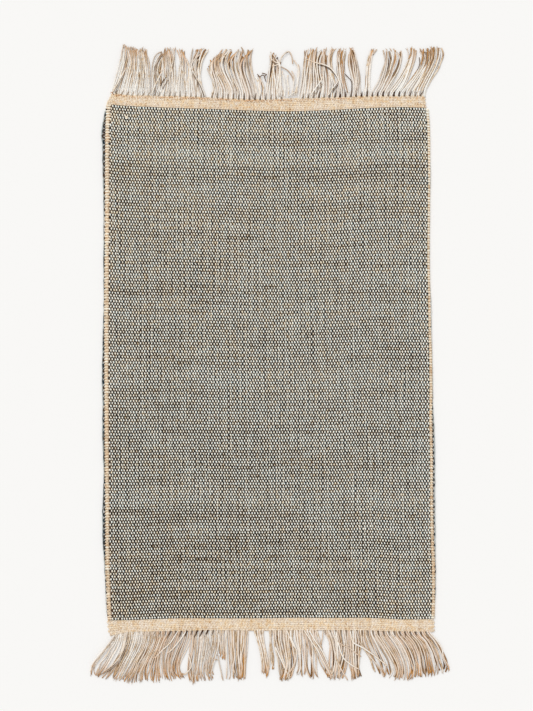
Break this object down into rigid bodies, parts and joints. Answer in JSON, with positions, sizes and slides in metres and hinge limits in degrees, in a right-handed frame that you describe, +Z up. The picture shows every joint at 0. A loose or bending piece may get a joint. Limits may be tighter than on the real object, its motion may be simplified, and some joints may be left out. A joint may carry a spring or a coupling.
{
  "type": "flat-woven jute rug",
  "caption": "Flat-woven rectangular jute rug with a dark field, natural headings, selvedges and loose fringes at both ends.",
  "frame": {"origin": "on the floor, under the middle of the rug and its fringes", "axes": "+X across the rug, +Y along its warps towards one fringe, +Z up from the floor"},
  "size_m": [0.6536, 1.1796, 0.007],
  "materials": {
    "marled_field": "matte",
    "tan_selvedge": "matte",
    "natural_heading": "matte",
    "cream_fringe": "matte"
  },
  "bodies": {
    "root": {"woven_field": "marled_field", "selvedge_left": "tan_selvedge", "selvedge_right": "tan_selvedge", "heading_top": "natural_heading", "heading_bottom": "natural_heading", "fringe_top": "cream_fringe", "fringe_bottom": "cream_fringe"}
  },
  "joints": []
}
